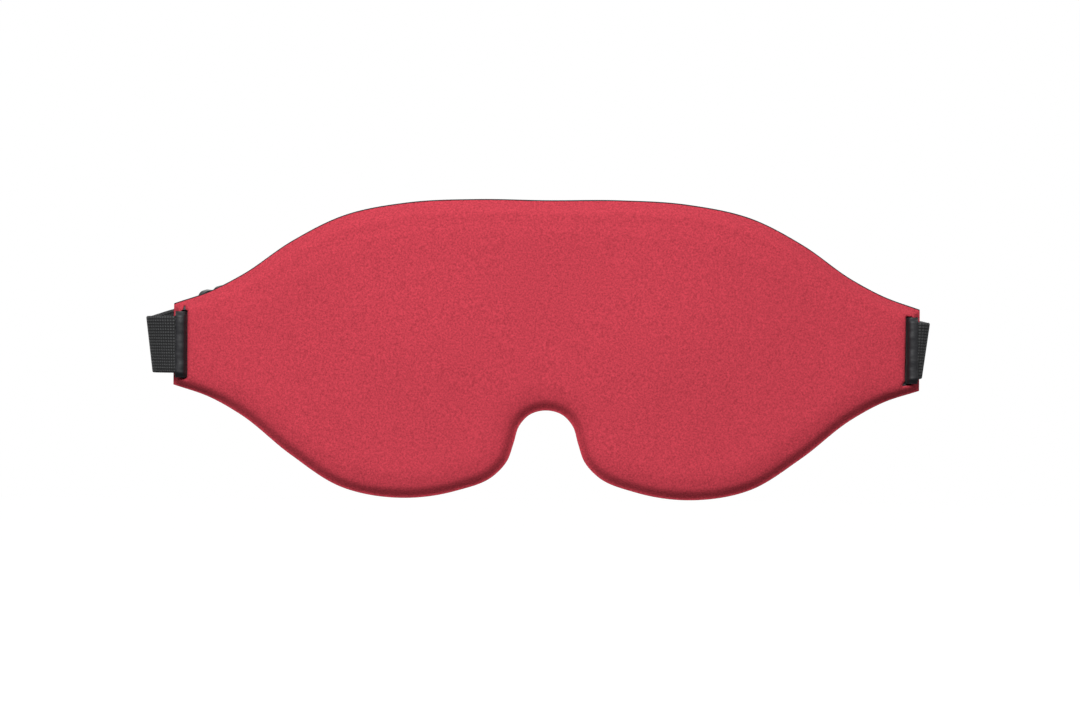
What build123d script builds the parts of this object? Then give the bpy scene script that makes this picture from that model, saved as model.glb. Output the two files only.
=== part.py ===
"""Contoured sleep eye mask on an adjustable elastic strap.

The mask is drawn as it is worn: X runs across the face, Z is up, and the wearer looks along -Y.
The origin is on the mask's middle plane, level with the two ear slots, where the back of the plain
panel meets the face. Every size is in millimetres.
"""

import os
from math import cos, degrees, radians, sin, sqrt, tan

from build123d import *

# ---- Driving sizes: the panel ----
half_width = 118.1  # from the middle plane to the end of an ear
crown_height = 45.9  # top edge above the ear slots
lobe_drop = 47.65  # lowest edge of a cheek lobe below the ear slots
notch_depth = 27.85  # nose notch, from the lobes' lowest edge to its crown
face_radius = 500.0  # bend of the front about a vertical axis

cover_thickness = 0.8
lining_thickness = 0.6
panel_foam = 2.9  # foam pressed thin between cover and lining
layer_gap = 0.15  # glue line between two layers

# ---- Driving sizes: eye pads and eye cups ----
eye_offset = 37.0  # middle of an eye from the middle plane
eye_height = 1.0
cup_half_width = 26.0
cup_half_height = 20.0
pad_rim = 9.5  # width of the cushion ring round a cup
pad_height = 6.5  # how far the ring stands up from the panel
cup_floor = 1.5  # foam left in front of the eye

# ---- Driving sizes: ears, slots and strap ----
strap_width = 18.0
strap_thickness = 1.0
keeper_width = 3.2  # smooth tape bridge over the webbing, along the strap
keeper_thickness = 0.6
keeper_margin = 1.5  # how far the keeper runs past the strap's edges
keeper_setback = 0.8  # keeper from the end of the ear
slot_margin = 0.3  # open slot past each end of the keeper
ear_web = 1.9  # panel left above and below a slot
strip_width = 2.6  # bar of panel between a slot and the end of its ear
slot_width = 2.0
fit = 0.1  # keeper on the bar of the ear and on the webbing
loose = 0.15  # strap on the bar of the ear, and one strap layer on another

fold_overhang = {-1: 7.8, 1: 3.2}  # fold of the strap loop past the ear, left and right
fold_depth = {-1: 4.75, 1: 4.35}  # fold behind the front of the ear, left and right
pivot_depth = 20.0  # where the back run starts, and the line it swings about
strap_end_angle = 46.0  # turn of the back run at each end, from straight across
strap_tilt = 24.0  # rise of the back run from level
strap_flare = 14.0  # lean of the strap out of its own arc, as on a collar
hinge_gap = 0.5  # between a loop and the back run

sewn_start = 16.0  # sewn end of the right loop, measured along the run
sewn_length = 10.0
leg_gap = 0.6  # where the webbing behind a slot is split from its loop

# ---- Driving sizes: slider ----
slider_setback = 21.7  # slider from the left end of the back run
slider_rail = 3.2  # slider past each edge of the strap's passage
ring_width = 6.0  # one of the slider's two rings, along the strap
ring_pitch = 5.6
ring_corner = 2.4
bar_thickness = 1.2
outer_bar = 1.3
centre_bar = 2.0
post_width = 2.6
running_gap = 0.25  # strap through the slider
edge_gap = 0.4  # strap's edges in the slider
stub_length = 4.5  # doubled end of the tail, where it is sewn

stitch_length = 2.0
stitch_width = 0.45
stitch_height = 0.3
stitch_pitch = 3.0
stitch_count = 6
stitch_gap = 0.05

# ---- Sizes that follow from those above ----
panel_thickness = cover_thickness + panel_foam + lining_thickness + 2 * layer_gap
axis_y = face_radius - panel_thickness
keeper_height = strap_width + 2 * keeper_margin
slot_height = keeper_height + 2 * slot_margin
ear_half = slot_height / 2 + ear_web
notch_crown = notch_depth - lobe_drop

foam_front_radius = face_radius - cover_thickness - layer_gap
foam_back_radius = foam_front_radius - panel_foam
skin = layer_gap + lining_thickness

slot_outer = half_width - strip_width
slot_inner = slot_outer - slot_width
strap_in_slot = slot_outer - loose - strap_thickness / 2


def face_depth(x, radius):
    """Depth at x of the cylinder of that radius about the face's vertical axis."""
    return axis_y - sqrt(radius**2 - x**2)


# ---- The panel's outline ----
# Points of the right half, as shares of the half width and of the rise from the ear's corner. The
# last crown point and the first lobe point lie past the ear, where the outline is cut off square.
crown_points = [
    (0.187, 1.006), (0.374, 0.97), (0.545, 0.843), (0.681, 0.602), (0.817, 0.274), (0.902, 0.12),
    (1.0, 0.0), (1.04, -0.05),
]
lobe_points = [
    (1.04, -0.05), (1.0, 0.0), (0.902, 0.109), (0.817, 0.265), (0.681, 0.622), (0.545, 0.907),
    (0.391, 1.0), (0.238, 0.932),
]
# Points of the notch's right side, in millimetres from its crown.
notch_points = [(16.4, -20.7), (12.2, -16.1), (10.1, -10.3), (8.4, -4.9), (5.2, -1.4)]
outline_steps = 60


def mirrored(points):
    """The points' mirror image in the middle plane, in reverse order."""
    return [(-x, z) for x, z in reversed(points)]


def drawn_in(points, inset):
    """A curve through the points, moved to its own right-hand side by inset."""
    curve = Spline(*points, mode=Mode.PRIVATE)
    shares = [step / outline_steps for step in range(outline_steps + 1)]
    return Spline(*[curve @ share + (curve % share).rotate(Axis.Z, -90) * inset for share in shares])


def outline(inset=0.0):
    """The panel's outline, drawn in on itself by inset, as a sketch in the XZ plane."""
    rise = crown_height - ear_half
    drop = lobe_drop - ear_half
    crown = [(u * half_width, ear_half + v * rise) for u, v in crown_points]
    lobe = [(u * half_width, -ear_half - v * drop) for u, v in lobe_points]
    low = lobe + [(x, notch_crown + z) for x, z in notch_points]
    with BuildSketch(Plane.XZ) as face:
        with BuildLine():
            top = drawn_in(mirrored(crown) + [(0, crown_height)] + crown, inset)
            bottom = drawn_in(low + [(0, notch_crown)] + mirrored(low), inset)
            Line(top @ 1, bottom @ 0)
            Line(bottom @ 1, top @ 0)
        make_face()
        Rectangle(2 * (half_width - inset), 2 * (crown_height + lobe_drop), mode=Mode.INTERSECT)
    return face.sketch


def bent_slab(face, outer, inner):
    """The sketch face carried through the depth between two cylinders about the face's axis."""
    reach = 2 * crown_height + 2 * lobe_drop
    with BuildPart() as slab:
        extrude(face, amount=half_width / 2, dir=(0, 1, 0), both=True)
        with BuildSketch(Plane.XY.offset(-reach / 2)):
            with Locations((0, axis_y)):
                Circle(outer)
                Circle(inner, mode=Mode.SUBTRACT)
        extrude(amount=reach, mode=Mode.INTERSECT)
    return slab.part


def eye_ovals(half_x, half_z):
    """An oval on each eye, as a sketch in the XZ plane."""
    with BuildSketch(Plane.XZ) as ovals:
        with Locations((-eye_offset, eye_height), (eye_offset, eye_height)):
            Ellipse(half_x, half_z)
    return ovals.sketch


def ear_slots():
    """The two slots, as solids to cut away."""
    with BuildPart() as slots:
        middle = (slot_inner + slot_outer) / 2
        with Locations((-middle, 0, 0), (middle, 0, 0)):
            Box(slot_width, half_width, slot_height)
    return slots.part


def padded_form(stand_off):
    """The foam with its pads and cups, grown backwards by stand_off."""
    inset = cover_thickness + layer_gap
    pad_x = cup_half_width + pad_rim
    pad_z = cup_half_height + pad_rim
    back = foam_back_radius - stand_off
    floor = foam_front_radius - cup_floor - stand_off
    mouth = back - 3 * pad_height
    with BuildPart() as form:
        add(bent_slab(outline(inset), foam_front_radius, back))
        with BuildSketch(Plane.XZ, mode=Mode.PRIVATE) as pads:
            add(eye_ovals(pad_x + stand_off, pad_z + stand_off))
            add(outline(inset), mode=Mode.INTERSECT)
        add(bent_slab(pads.sketch, foam_front_radius, back - pad_height))
        hollow = eye_ovals(cup_half_width - stand_off, cup_half_height - stand_off)
        add(bent_slab(hollow, floor, mouth), mode=Mode.SUBTRACT)
        add(ear_slots(), mode=Mode.SUBTRACT)
    return form.part


# ---- Front cover: fabric front with its edge turned back round the foam ----
with BuildPart() as front_cover:
    add(bent_slab(outline(), face_radius, face_radius - panel_thickness))
    add(bent_slab(outline(cover_thickness), face_radius - cover_thickness, foam_back_radius - 3 * skin),
        mode=Mode.SUBTRACT)
    add(ear_slots(), mode=Mode.SUBTRACT)

# ---- Foam core: one moulding, thin at the edge, with a cushion ring round each eye cup ----
with BuildPart() as foam_core:
    add(padded_form(0))

# ---- Back lining: soft fabric over the pads and down into the cups ----
with BuildPart() as back_lining:
    add(padded_form(skin))
    add(padded_form(layer_gap), mode=Mode.SUBTRACT)


# ---- Strap loops: through the slot, over the bar, out to the fold and back ----
bar_front = face_depth(slot_outer, face_radius)
bar_back = face_depth(half_width, face_radius - panel_thickness)
loop_front = bar_front - loose - strap_thickness / 2
loop_corner = half_width + loose + 0.75 * strap_thickness
slot_exit_y = bar_back + 1.5 * strap_thickness
run_slope = radians(strap_end_angle)
knuckle_radius = strap_width / 2  # round end of a loop, about the line the back run swings on
knuckle_length = 2 * strap_width


def fold_point(side):
    """Where the loop's strap turns back, on its middle line."""
    return side * (half_width + fold_overhang[side]), face_depth(half_width, face_radius) + fold_depth[side]


def pivot_x(side):
    """Where the loop's strap meets the line that the back run swings about."""
    fold_x, fold_y = fold_point(side)
    return fold_x - side * (pivot_depth - fold_y) / tan(run_slope)


def knuckle(side, radius):
    """A round bar along the line that the back run swings about, at one end of the run."""
    with BuildPart() as bar:
        with Locations(Location((pivot_x(side), pivot_depth, 0), (0, 90, 0))):
            Cylinder(radius, knuckle_length)
    return bar.part


def strap_loop(side):
    """The webbing of one loop, as wide as the strap and rounded off at its end."""
    fold_x, fold_y = fold_point(side)
    end_y = pivot_depth + strap_width
    end_x = pivot_x(side) - side * strap_width / tan(run_slope)
    with BuildPart() as webbing:
        with BuildSketch(Plane.XY.offset(-strap_width / 2)):
            with BuildLine():
                FilletPolyline(
                    (side * strap_in_slot, slot_exit_y),
                    (side * strap_in_slot, loop_front),
                    (side * loop_corner, loop_front),
                    (fold_x, fold_y),
                    (end_x, end_y),
                    radius=[0.7, 0.7, 0.9],
                )
            trace(line_width=strap_thickness)
        extrude(amount=strap_width)
        with BuildPart(mode=Mode.PRIVATE) as beyond:
            with Locations((0, pivot_depth + strap_width, 0)):
                Box(3 * half_width, 2 * strap_width, 2 * strap_width)
            add(knuckle(side, knuckle_radius), mode=Mode.SUBTRACT)
        add(beyond.part, mode=Mode.SUBTRACT)
    return webbing.part


# ---- Keepers: a bridge of smooth tape that holds each loop down on the bar of its ear ----
def strap_keeper(side):
    """The keeper on one ear; side is -1 on the left and 1 on the right."""
    outer_x = half_width - keeper_setback
    passage_front = loop_front - strap_thickness / 2 - fit
    front = passage_front - keeper_thickness
    back = bar_front - fit
    section = Plane(origin=(side * outer_x, 0, 0), x_dir=(0, 1, 0), z_dir=(1, 0, 0))
    with BuildPart() as keeper:
        with BuildSketch(section):
            with Locations(((front + back) / 2, 0)):
                Rectangle(back - front, keeper_height)
            with Locations(((passage_front + back + fit) / 2, 0)):
                Rectangle(back + fit - passage_front, strap_width + 2 * edge_gap, mode=Mode.SUBTRACT)
        extrude(amount=-side * keeper_width)
    return keeper.part


# ---- Back run: an arc of webbing behind the head, tilted up and flared ----
run_chord = pivot_x(1) - pivot_x(-1)
run_radius = run_chord / 2 / sin(run_slope)
run_middle = (pivot_x(1) + pivot_x(-1)) / 2
tilt = radians(strap_tilt)
flare = radians(strap_flare)
run_plane = Plane(origin=(run_middle, pivot_depth, 0), x_dir=(1, 0, 0), z_dir=(0, -sin(tilt), cos(tilt)))
run_centre = run_plane.from_local_coords((0, -run_radius * cos(run_slope), 0))
run_axis = Axis(run_centre, -run_plane.z_dir)


def run_outward(angle):
    """Unit vector from the run's axis to the run, angle degrees round from straight back."""
    end = run_plane.from_local_coords((sin(radians(angle)), cos(radians(angle)), 0))
    return end - run_plane.origin


def along_run(distance):
    """Degrees that a distance along the run takes up."""
    return degrees(distance / run_radius)


def run_frame(angle, inward=0.0):
    """A plane on the run: X points to the left ear, Y across the strap and up, Z away from the head."""
    outward = run_outward(angle)
    normal = outward * cos(flare) - run_plane.z_dir * sin(flare)
    across = outward * sin(flare) + run_plane.z_dir * cos(flare)
    origin = run_centre + outward * run_radius - normal * inward
    return Plane(origin=origin, x_dir=across.cross(normal), z_dir=normal)


def run_band(start, end, inward=0.0):
    """Webbing along the run from one angle to another, set in towards the head by inward."""
    outward = run_outward(start)
    section = Plane(origin=run_centre, x_dir=outward, z_dir=outward.cross(run_plane.z_dir))
    with BuildPart() as band:
        with BuildSketch(section):
            with Locations((run_radius - inward * cos(flare), inward * sin(flare))):
                Rectangle(strap_thickness, strap_width, rotation=-strap_flare)
        revolve(axis=run_axis, revolution_arc=end - start)
    return band.part


def straight_webbing(start, end):
    """Webbing pulled straight between two planes, whose Y axes run across it."""
    with BuildPart() as webbing:
        with BuildSketch(start):
            Rectangle(strap_thickness, strap_width)
        with BuildSketch(end):
            Rectangle(strap_thickness, strap_width)
        loft()
    return webbing.part


def stitch_rows(plane, rows):
    """Rows of thread across the strap, standing on a plane."""
    with BuildPart() as thread:
        with BuildSketch(plane.offset(stitch_gap)):
            with Locations(*[(x, 0) for x in rows]):
                with GridLocations(stitch_pitch, stitch_pitch, 1, stitch_count):
                    SlotOverall(stitch_length, stitch_width, rotation=90)
        extrude(amount=stitch_height)
    return thread.part


with BuildPart() as strap_run:
    add(run_band(-strap_end_angle, strap_end_angle))
    for side in (-1, 1):
        add(knuckle(side, knuckle_radius + hinge_gap), mode=Mode.SUBTRACT)

# ---- Right end: the loop's inner leg, sewn to the run ----
layer_step = strap_thickness + loose
sewn_near = strap_end_angle - along_run(sewn_start)
sewn_far = sewn_near - along_run(sewn_length)
strap_sewn_end = run_band(sewn_far, sewn_near, layer_step)


def facing(plane):
    """The plane turned so that its Z axis points at the head."""
    return Plane(origin=plane.origin, x_dir=plane.x_dir, z_dir=-plane.z_dir)


sewn_face = layer_step + strap_thickness / 2
sewn_middle = run_frame((sewn_near + sewn_far) / 2, sewn_face)
sewn_rows = [-sewn_length / 3, sewn_length / 3]
sewn_end_stitches = stitch_rows(facing(sewn_middle), sewn_rows)


def leg_start(side, goal):
    """A plane at a slot's back mouth that looks level towards the goal."""
    origin = Vector(side * strap_in_slot, slot_exit_y + leg_gap, 0)
    ahead = Vector(goal.X - origin.X, goal.Y - origin.Y, 0).normalized()
    return Plane(origin=origin, x_dir=Vector(0, 0, 1).cross(ahead), z_dir=ahead)


def leg_end(angle, inward, side):
    """A plane across the run that looks on towards the middle from that side."""
    frame = run_frame(angle, inward)
    ahead = frame.x_dir * side
    return Plane(origin=frame.origin, x_dir=frame.y_dir.cross(ahead), z_dir=ahead)


right_end = leg_end(sewn_near + along_run(2 * loose), layer_step, 1)
strap_return_leg = straight_webbing(leg_start(1, right_end.origin), right_end)

# ---- Slider: two rings side by side, with the centre bar set in under the strap ----
slider_angle = along_run(slider_setback) - strap_end_angle
slider_plane = run_frame(slider_angle)
passage_half = strap_width / 2 + edge_gap
passage_length = 2 * passage_half
slider_length = passage_length + 2 * slider_rail
bar_low = strap_thickness / 2 + running_gap
rail_low = -strap_thickness / 2 - fit
bar_inset = bar_low + strap_thickness + fit + bar_thickness / 2
slider_span = ring_pitch + ring_width

with BuildPart() as slider:
    with BuildSketch(slider_plane.offset(rail_low)):
        with Locations((-ring_pitch / 2, 0), (ring_pitch / 2, 0)):
            RectangleRounded(ring_width, slider_length, ring_corner)
    extrude(amount=bar_low + bar_thickness - rail_low)
    with BuildSketch(slider_plane.offset(rail_low)):
        Rectangle(2 * slider_span, passage_length)
    extrude(amount=bar_low - rail_low, mode=Mode.SUBTRACT)
    with BuildSketch(slider_plane.offset(bar_low)):
        Rectangle(slider_span - 2 * outer_bar, passage_length)
    extrude(amount=bar_thickness, mode=Mode.SUBTRACT)
    with BuildSketch(slider_plane.offset(-bar_inset - bar_thickness / 2)):
        Rectangle(centre_bar, slider_length - 2 * ring_corner)
    extrude(amount=bar_thickness)
    with BuildSketch(slider_plane.offset(-bar_inset - bar_thickness / 2)):
        with Locations((0, -slider_length / 2 + ring_corner), (0, slider_length / 2 - ring_corner)):
            Rectangle(post_width, 2 * (slider_length / 2 - ring_corner - passage_half))
    extrude(amount=rail_low + bar_inset + bar_thickness)

# ---- Tail: the webbing's other end, folded round the centre bar and sewn to itself ----
wrap_plane = Plane(origin=slider_plane.origin, x_dir=slider_plane.x_dir, z_dir=-slider_plane.y_dir)
bar_hole_x = centre_bar + 2 * fit
bar_hole_z = bar_thickness + 2 * fit
wrap_x = bar_hole_x + 2 * strap_thickness
wrap_z = bar_hole_z + 2 * strap_thickness
with BuildPart() as slider_tail_wrap:
    with BuildSketch(wrap_plane):
        with Locations((0, -bar_inset)):
            RectangleRounded(wrap_x, wrap_z, strap_thickness)
        with Locations((wrap_x / 2 + stub_length / 2 - strap_thickness / 2, -bar_inset)):
            Rectangle(stub_length + strap_thickness, 2 * strap_thickness)
        with Locations((0, -bar_inset)):
            Rectangle(bar_hole_x, bar_hole_z, mode=Mode.SUBTRACT)
    extrude(amount=strap_width / 2, both=True)

stub_face = bar_inset + strap_thickness
stub_middle = wrap_x / 2 + stub_length / 2
tail_stitches = stitch_rows(facing(slider_plane.offset(-stub_face)), [stub_middle])

tail_angle = slider_angle - along_run(wrap_x / 2 + stub_length + 2 * loose)
left_end = leg_end(tail_angle, bar_inset, -1)
strap_tail = straight_webbing(leg_start(-1, left_end.origin), left_end)

# ---- Write one file for each piece ----
pieces = {
    "front_cover": front_cover.part,
    "foam_core": foam_core.part,
    "back_lining": back_lining.part,
    "strap_keeper_left": strap_keeper(-1),
    "strap_keeper_right": strap_keeper(1),
    "strap_loop_left": strap_loop(-1),
    "strap_loop_right": strap_loop(1),
    "strap_run": strap_run.part,
    "strap_sewn_end": strap_sewn_end,
    "strap_return_leg": strap_return_leg,
    "sewn_end_stitches": sewn_end_stitches,
    "strap_tail": strap_tail,
    "slider": slider.part,
    "slider_tail_wrap": slider_tail_wrap.part,
    "tail_stitches": tail_stitches,
}
os.makedirs("parts", exist_ok=True)
for name, piece in pieces.items():
    piece.label = name
    export_step(piece, f"parts/{name}.step")
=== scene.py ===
"""Looks of the sleep eye mask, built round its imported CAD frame.

Lengths are in millimetres until a mesh is made.
"""
import math

import bpy
import numpy as np
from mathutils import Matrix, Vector
from mathutils.geometry import delaunay_2d_cdt


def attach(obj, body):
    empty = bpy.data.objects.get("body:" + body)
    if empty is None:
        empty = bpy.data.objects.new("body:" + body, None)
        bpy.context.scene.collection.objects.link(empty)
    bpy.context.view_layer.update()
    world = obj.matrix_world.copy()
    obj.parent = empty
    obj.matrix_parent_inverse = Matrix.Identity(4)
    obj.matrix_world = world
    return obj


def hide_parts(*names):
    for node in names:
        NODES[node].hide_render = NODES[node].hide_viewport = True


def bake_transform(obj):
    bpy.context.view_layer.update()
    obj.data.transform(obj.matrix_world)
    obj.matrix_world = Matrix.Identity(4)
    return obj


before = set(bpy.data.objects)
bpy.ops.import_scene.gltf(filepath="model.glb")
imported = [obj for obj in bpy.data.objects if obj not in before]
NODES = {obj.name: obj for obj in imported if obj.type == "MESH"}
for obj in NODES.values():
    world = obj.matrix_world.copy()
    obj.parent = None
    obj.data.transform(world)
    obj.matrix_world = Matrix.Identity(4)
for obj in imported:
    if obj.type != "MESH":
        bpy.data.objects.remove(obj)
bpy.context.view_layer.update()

MM = 0.001

# ---- Sizes shared with the CAD model ----
HALF_WIDTH = 118.1
CROWN = 45.9
LOBE_DROP = 47.65
NOTCH_CROWN = -19.8
EAR_HALF = 12.7
FACE_RADIUS = 500.0
PANEL = 4.6  # thickness of the plain panel
AXIS_Y = FACE_RADIUS - PANEL
EYE_X = 37.0
EYE_Z = 1.0
STRAP_WIDTH = 18.0
STRAP_THICK = 1.0

CROWN_POINTS = [
    (0.187, 1.006), (0.374, 0.97), (0.545, 0.843), (0.681, 0.602), (0.817, 0.274), (0.902, 0.12), (1.0, 0.0),
]
LOBE_POINTS = [
    (1.0, 0.0), (0.902, 0.109), (0.817, 0.265), (0.681, 0.622), (0.545, 0.907), (0.391, 1.0), (0.238, 0.932),
]
OUTLINE_STEP = 1.0  # between the outline's points, and a slot's
SLOT_STEP = 0.8
NOTCH_POINTS = [(16.4, -20.7), (12.2, -16.1), (10.1, -10.3), (8.4, -4.9), (5.2, -1.4)]


# ---- Small helpers ----
def lengths_along(points):
    """Length from the first point of a polyline to each of its points."""
    return np.concatenate([[0], np.cumsum(np.linalg.norm(np.diff(points, axis=0), axis=1))])


def smooth_curve(points, step):
    """Points about step apart on a smooth curve through the given ones."""
    p = np.array(points, float)
    knots = lengths_along(p)
    slopes = np.gradient(p, knots, axis=0)
    out = []
    for i in range(len(p) - 1):
        span = knots[i + 1] - knots[i]
        count = max(1, round(span / step))
        for k in range(count):
            t = k / count
            a, b = 2 * t**3 - 3 * t**2 + 1, t**3 - 2 * t**2 + t
            c, d = -2 * t**3 + 3 * t**2, t**3 - t**2
            out.append(a * p[i] + b * span * slopes[i] + c * p[i + 1] + d * span * slopes[i + 1])
    out.append(p[-1])
    return np.array(out)


def smoothstep(t):
    """A smooth passage from 0 to 1 as t does the same."""
    t = np.clip(t, 0, 1)
    return t * t * (3 - 2 * t)


def face_depth(x):
    """Where the front cylinder lies at x, measured back from y = 0."""
    return AXIS_Y - np.sqrt(FACE_RADIUS**2 - x**2)


def hill(x, z, centre, size):
    """A smooth hill 1 high in the plan."""
    return np.exp(-(((x - centre[0]) / size[0]) ** 2) - ((z - centre[1]) / size[1]) ** 2)


def inside(points, loop):
    """Whether each point is inside a closed loop."""
    x, z = points[:, 0], points[:, 1]
    hit = np.zeros(len(points), bool)
    for (x0, z0), (x1, z1) in zip(loop, np.roll(loop, -1, axis=0)):
        cross = (z0 > z) != (z1 > z)
        with np.errstate(divide="ignore", invalid="ignore"):
            hit ^= cross & (x < (x1 - x0) * (z - z0) / (z1 - z0) + x0)
    return hit


def distance_to(points, loop):
    """Distance from each point to a closed loop."""
    best = np.full(len(points), 1e9)
    for a, b in zip(loop, np.roll(loop, -1, axis=0)):
        d = b - a
        t = np.clip(((points - a) @ d) / (d @ d), 0, 1)
        best = np.minimum(best, np.linalg.norm(points - a - t[:, None] * d, axis=1))
    return best


def ring_inside(loop, inset):
    """The loop moved inwards by inset; it runs clockwise, so inwards is to its right."""
    ahead = np.roll(loop, -1, axis=0) - np.roll(loop, 1, axis=0)
    ahead /= np.linalg.norm(ahead, axis=1)[:, None]
    return loop + inset * np.stack([ahead[:, 1], -ahead[:, 0]], axis=1)


def new_object(name, verts, faces, uvs=None):
    """A smooth-shaded mesh object from points in millimetres."""
    mesh = bpy.data.meshes.new(name)
    corners = [tuple(int(i) for i in face) for face in faces]
    mesh.from_pydata([tuple(v) for v in np.asarray(verts) * MM], [], corners)
    mesh.validate()
    for polygon in mesh.polygons:
        polygon.use_smooth = True
    if uvs is not None:
        layer = mesh.uv_layers.new(name="along")
        for loop in mesh.loops:
            layer.data[loop.index].uv = uvs[loop.vertex_index]
    mesh.update()
    obj = bpy.data.objects.new(name, mesh)
    bpy.context.scene.collection.objects.link(obj)
    return obj


def select_only(obj):
    bpy.context.view_layer.objects.active = obj
    for other in bpy.context.selected_objects:
        other.select_set(False)
    obj.select_set(True)


def thicken(obj, thickness):
    """Give a sheet a thickness inwards."""
    modifier = obj.modifiers.new("thickness", "SOLIDIFY")
    modifier.thickness = thickness * MM
    modifier.offset = -1
    select_only(obj)
    bpy.ops.object.modifier_apply(modifier=modifier.name)


# ---- The mask's plan: outline, slots and a mesh that follows both ----
def half_outline():
    """Points of the right half: over the crown, and from the ear round the lobe into the notch."""
    rise, drop = CROWN - EAR_HALF, LOBE_DROP - EAR_HALF
    crown = [(u * HALF_WIDTH, EAR_HALF + v * rise) for u, v in CROWN_POINTS]
    lobe = [(u * HALF_WIDTH, -EAR_HALF - v * drop) for u, v in LOBE_POINTS]
    notch = [(x, NOTCH_CROWN + z) for x, z in NOTCH_POINTS]
    return crown, lobe + notch


def outline_loop():
    """The whole outline, clockwise seen from the front, starting at the left ear's upper corner."""
    crown, low = half_outline()
    top = [(-x, z) for x, z in reversed(crown)] + [(0, CROWN)] + crown
    bottom = low + [(0, NOTCH_CROWN)] + [(-x, z) for x, z in reversed(low)]
    count = round(2 * EAR_HALF / OUTLINE_STEP)
    ear = np.arange(1, count) / count
    right = [(HALF_WIDTH, EAR_HALF - 2 * EAR_HALF * t) for t in ear]
    left = [(-HALF_WIDTH, -EAR_HALF + 2 * EAR_HALF * t) for t in ear]
    return np.vstack([smooth_curve(top, OUTLINE_STEP), right, smooth_curve(bottom, OUTLINE_STEP), left])


# The cover's left slot has a slit at its top, and its right slot a nick at its foot.
SLOT_CORNERS = [
    [(-115.5, 10.7), (-115.05, 10.85), (-114.85, 12.2), (-114.4, 12.25), (-114.1, 10.9), (-113.55, 10.7),
     (-113.5, -10.5), (-113.8, -10.8), (-115.2, -10.8), (-115.5, -10.5)],
    [(113.7, 10.8), (115.3, 10.8), (115.5, 10.5), (115.5, -10.5), (115.2, -10.9), (112.6, -11.2),
     (112.5, -10.9), (113.3, -9.6), (113.5, 10.5)],
]
BACK_SLOT = [(113.9, 10.3), (115.1, 10.3), (115.4, 10.0), (115.4, -10.0), (115.1, -10.3), (113.9, -10.3),
             (113.6, -10.0), (113.6, 10.0)]


def slot_loop(corners):
    """One slot's edge, clockwise, from its corners."""
    dense = []
    for a, b in zip(corners, np.roll(corners, -1, axis=0)):
        count = max(1, round(np.linalg.norm(b - a) / SLOT_STEP))
        dense += [a + (b - a) * k / count for k in range(count)]
    return np.array(dense)


OUTLINE = outline_loop()
FRONT_SLOTS = [slot_loop(np.array(corners)) for corners in SLOT_CORNERS]
BACK_SLOTS = [slot_loop(np.array(BACK_SLOT) * [side, 1])[::side] for side in (-1, 1)]
RING_A = 30.75  # middle line of the cushion ring round an eye
RING_B = 24.75
RING_HALF = 4.9
RING_STEPS = [0.8, 2.2, 3.4, 4.2, 4.7, 5.1, 5.5, 6.0, 6.6, 7.4]  # mesh rows on each side of that line
SLOT_INSETS = (0.35, 0.8)  # mesh rows round a slot
CROSSING = 0.08  # a row that comes this much too near the outline has crossed over itself


def ring_offset(points, side=None):
    """Distance out from the middle line of one eye's cushion ring, or the nearer one's; negative inside."""
    x = np.abs(points[:, 0]) - EYE_X if side is None else side * points[:, 0] - EYE_X
    z = points[:, 1] - EYE_Z
    rho = np.sqrt((x / RING_A) ** 2 + (z / RING_B) ** 2) + 1e-9
    return (rho - 1) * np.sqrt(x**2 + z**2) / rho


def drawn_in(inset):
    """The mask's outline moved inwards, without the points that cross over at its corners."""
    row = ring_inside(OUTLINE, inset)
    return row[distance_to(row, OUTLINE) > inset - CROSSING]


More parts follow.
